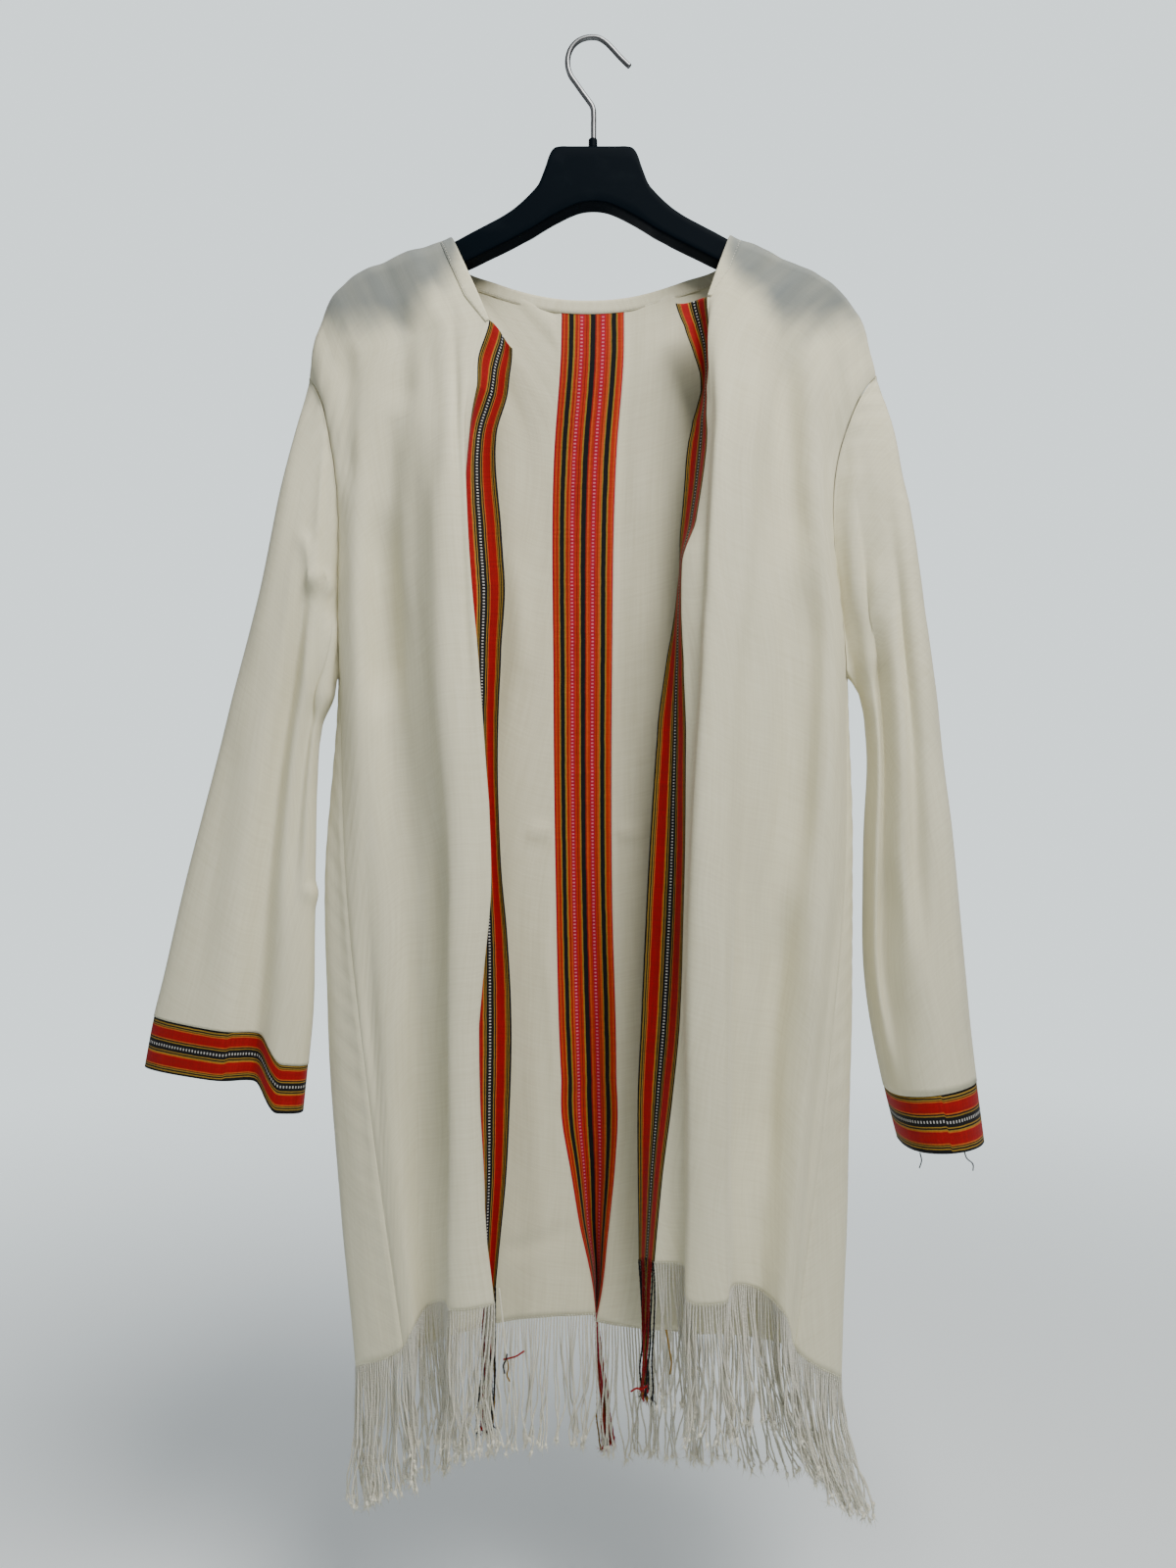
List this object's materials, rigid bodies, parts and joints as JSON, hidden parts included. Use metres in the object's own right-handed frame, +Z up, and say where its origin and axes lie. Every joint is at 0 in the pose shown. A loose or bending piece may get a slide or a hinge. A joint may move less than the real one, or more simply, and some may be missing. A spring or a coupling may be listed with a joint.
{
  "type": "kimono jacket on a coat hanger",
  "caption": "Open-front kimono jacket of thin ivory cloth with striped woven bands, hanging sleeves and a knotted fringe, on a coat hanger.",
  "frame": {"origin": "the inside top of the hanger's hook, where it hangs on a rail", "axes": "+Z up, +X to the right of someone who looks at the fronts, and the fronts face -Y"},
  "size_m": [0.7156, 0.1319, 1.2729],
  "materials": {
    "ivory_cloth": "matt plain weave",
    "woven_band": "matt striped weave",
    "fringe_thread": "twisted thread",
    "dark_plastic": "satin",
    "bright_wire": "polished"
  },
  "bodies": {
    "root": {"front_left": "ivory_cloth", "front_right": "ivory_cloth", "back_left": "ivory_cloth", "back_right": "ivory_cloth", "sleeve_left": "ivory_cloth", "sleeve_right": "ivory_cloth", "neck_binding_left": "ivory_cloth", "neck_binding_back": "ivory_cloth", "neck_binding_right": "ivory_cloth", "front_band_left": "woven_band", "front_band_right": "woven_band", "back_band": "woven_band", "cuff_left": "woven_band", "cuff_right": "woven_band", "fringe_band_left": "woven_band", "fringe_band_right": "woven_band", "fringe_back_band": "woven_band", "fringe_front_left": "fringe_thread", "fringe_front_right": "fringe_thread", "fringe_back_left": "fringe_thread", "fringe_back_right": "fringe_thread", "hanger_body": "dark_plastic", "hanger_collar": "dark_plastic", "hanger_hook": "bright_wire"}
  },
  "joints": []
}
